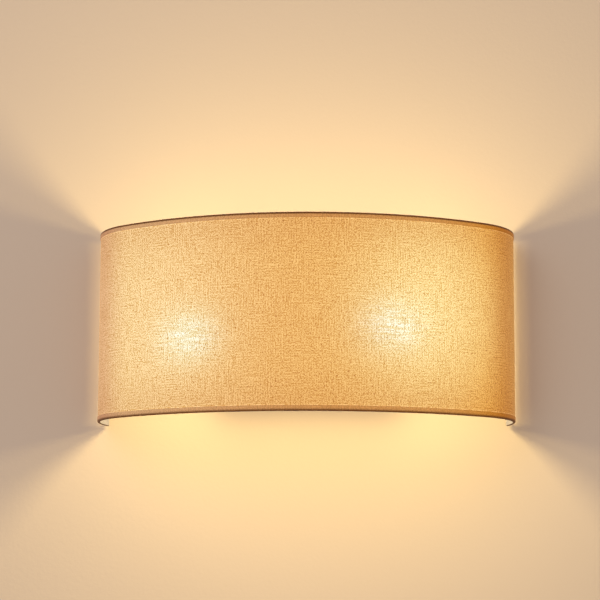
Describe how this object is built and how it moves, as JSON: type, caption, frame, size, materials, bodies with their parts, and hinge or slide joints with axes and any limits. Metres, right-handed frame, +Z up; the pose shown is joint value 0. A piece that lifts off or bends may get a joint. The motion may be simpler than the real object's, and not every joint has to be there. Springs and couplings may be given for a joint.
{
  "type": "fabric shade wall light",
  "caption": "Bow-fronted half shade of sand linen on a wire frame, hung on a white tray that holds screw-in globe bulbs end to end; light leaves above, below and through the cloth.",
  "frame": {"origin": "on the wall, midway between the two wall screws, at half the shade's height", "axes": "+X along the wall to the viewer's right, +Y into the wall, +Z up"},
  "size_m": [0.4, 0.14, 0.183],
  "materials": {
    "shade_linen": "sand linen weave",
    "shade_liner": "translucent film backing",
    "hem_tape": "folded linen tape",
    "frame_wire": "drawn steel wire",
    "white_enamelled_steel": "white powder coat",
    "zinc_plated_steel": "zinc plate",
    "nickelled_screws": "nickel plate",
    "aluminium_rivets": "formed rivet",
    "rubber_grommet": "moulded",
    "terminal_block_plastic": "moulded polyamide",
    "brass": "plain",
    "earth_insulation": "green and yellow sleeve",
    "live_insulation": "brown silicone",
    "neutral_insulation": "blue silicone",
    "holder_plastic": "moulded white thermoset",
    "holder_insert_plastic": "moulded",
    "contact_solder": "tinned",
    "black_insulator": "vitreous",
    "nickelled_cap": "nickel plated screw cap",
    "white_collar": "moulded",
    "led_board": "coated board",
    "opal_globe": "opal"
  },
  "bodies": {
    "fixture": {"wall_bracket": "zinc_plated_steel", "backplate": "white_enamelled_steel", "side_screws": "nickelled_screws", "hanger_studs": "zinc_plated_steel", "lamp_bracket": "white_enamelled_steel", "bracket_rivets": "aluminium_rivets", "wire_grommet": "rubber_grommet", "terminal_block": "terminal_block_plastic", "terminal_tubes": "brass", "terminal_screws": "zinc_plated_steel", "terminal_block_screws": "zinc_plated_steel", "earth_ring_terminal": "brass", "earth_screw": "brass", "earth_wire": "earth_insulation", "live_wire_left": "live_insulation", "live_wire_right": "live_insulation", "neutral_wire_left": "neutral_insulation", "neutral_wire_right": "neutral_insulation", "left_nipple": "zinc_plated_steel", "left_locknut": "zinc_plated_steel", "left_holder_cap": "holder_plastic", "left_holder_body": "holder_plastic", "left_holder_insert": "holder_insert_plastic", "left_holder_sleeve": "brass", "left_holder_contact": "brass", "right_nipple": "zinc_plated_steel", "right_locknut": "zinc_plated_steel", "right_holder_cap": "holder_plastic", "right_holder_body": "holder_plastic", "right_holder_insert": "holder_insert_plastic", "right_holder_sleeve": "brass", "right_holder_contact": "brass"},
    "shade": {"shade_fabric": "shade_linen", "shade_liner": "shade_liner", "top_ring": "frame_wire", "bottom_ring": "frame_wire", "top_hem": "hem_tape", "bottom_hem": "hem_tape", "left_end_wire": "frame_wire", "right_end_wire": "frame_wire", "left_end_fold": "hem_tape", "right_end_fold": "hem_tape", "carrier_strip": "white_enamelled_steel"},
    "left_bulb_tip": {"left_bulb_contact": "contact_solder"},
    "left_bulb": {"left_bulb_cap": "nickelled_cap", "left_bulb_collar": "white_collar", "left_bulb_globe": "opal_globe", "left_bulb_insulator": "black_insulator", "left_led_board": "led_board"},
    "right_bulb_tip": {"right_bulb_contact": "contact_solder"},
    "right_bulb": {"right_bulb_cap": "nickelled_cap", "right_bulb_collar": "white_collar", "right_bulb_globe": "opal_globe", "right_bulb_insulator": "black_insulator", "right_led_board": "led_board"}
  },
  "joints": [
    {"name": "shade_lift", "type": "slide", "parent": "fixture", "child": "shade", "axis": [0, 0, 1], "range_m": [0, 0.16]},
    {"name": "left_bulb_out", "type": "slide", "parent": "fixture", "child": "left_bulb_tip", "axis": [-1, 0, 0], "range_m": [0, 0.0113]},
    {"name": "left_bulb_turn", "type": "hinge", "parent": "left_bulb_tip", "child": "left_bulb", "pos_m": [-0.095, -0.062, -0.008], "axis": [-1, 0, 0], "range_deg": [0, 1440]},
    {"name": "right_bulb_out", "type": "slide", "parent": "fixture", "child": "right_bulb_tip", "axis": [1, 0, 0], "range_m": [0, 0.0113]},
    {"name": "right_bulb_turn", "type": "hinge", "parent": "right_bulb_tip", "child": "right_bulb", "pos_m": [0.095, -0.062, -0.008], "axis": [1, 0, 0], "range_deg": [0, 1440]}
  ],
  "couplings": [
    {"joint": "left_bulb_out", "follows": "left_bulb_turn", "m_per_rad": 0.00044882},
    {"joint": "right_bulb_out", "follows": "right_bulb_turn", "m_per_rad": 0.00044882}
  ]
}
